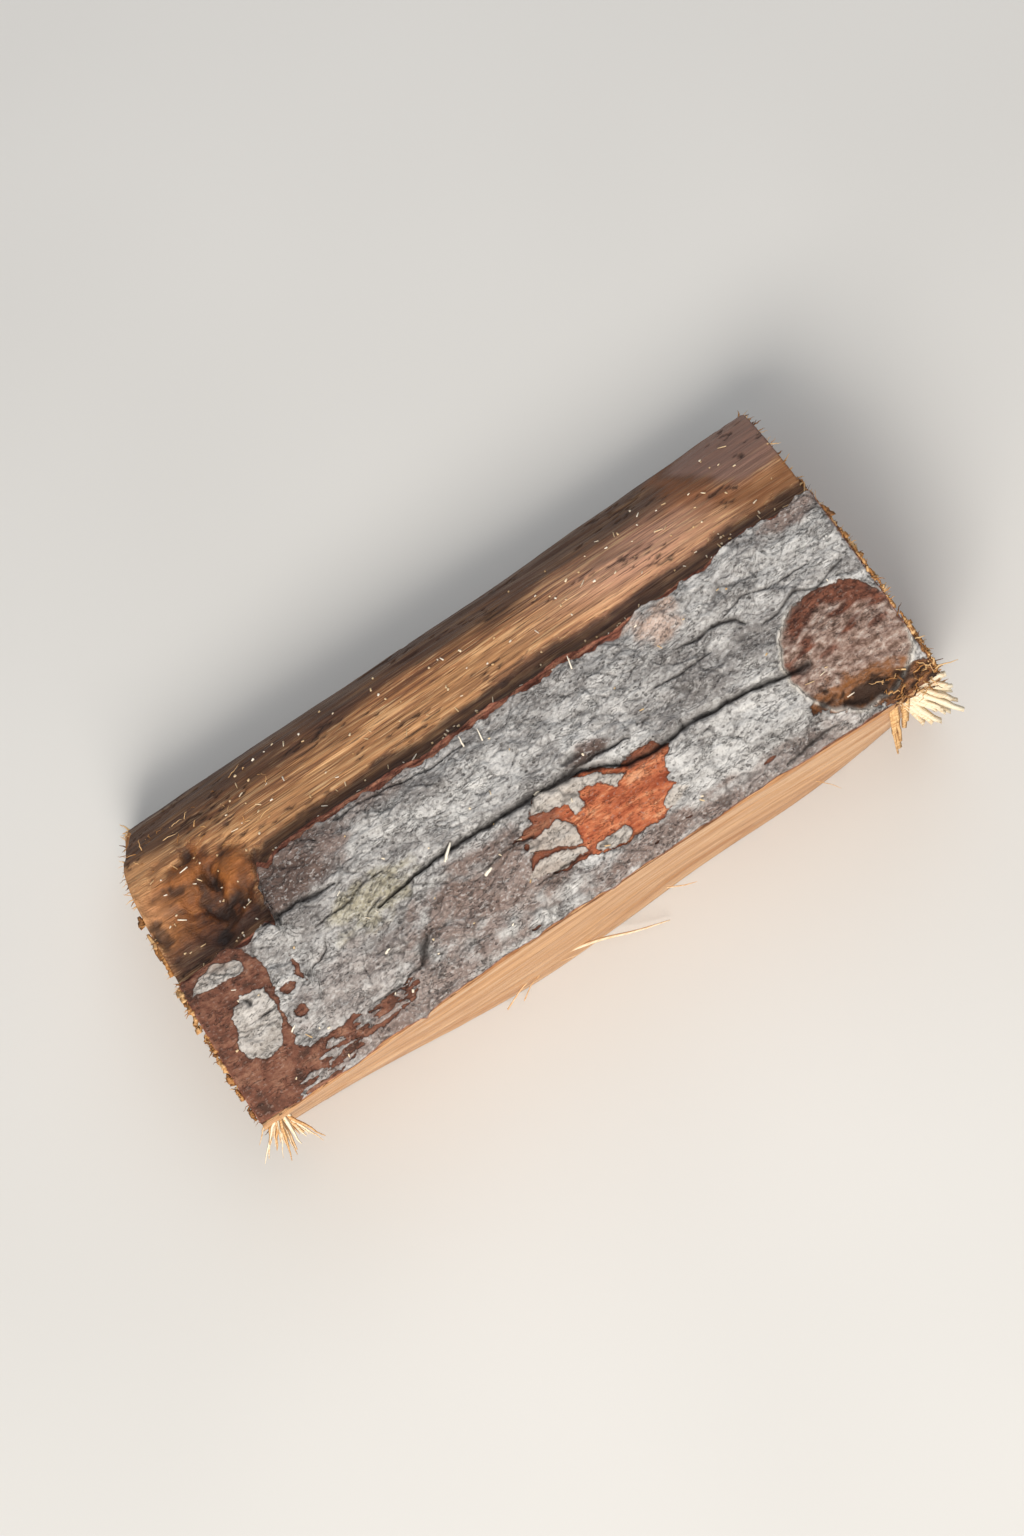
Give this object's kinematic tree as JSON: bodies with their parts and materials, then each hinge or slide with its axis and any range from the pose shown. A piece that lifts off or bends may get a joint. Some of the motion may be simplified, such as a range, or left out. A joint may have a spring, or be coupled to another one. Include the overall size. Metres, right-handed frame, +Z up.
{
  "type": "wood log",
  "caption": "Split firewood log with sawn ends, two split faces and a slab of grey bark on its rounded side. It lies on its wide split face.",
  "frame": {"origin": "under the middle of the log, on the surface that it rests on", "axes": "+X along the grain towards the end with the round knot scar, +Y towards the rounded bare side, +Z up from the wide split face to the bark"},
  "size_m": [0.2502, 0.1178, 0.0693],
  "materials": {
    "wood": "raw split and sawn hardwood, matt, fibrous along the grain",
    "bark": "dry grey bark, matt and rough, cracked along the grain"
  },
  "bodies": {
    "root": {"wood": "wood", "bark": "bark"}
  },
  "joints": []
}
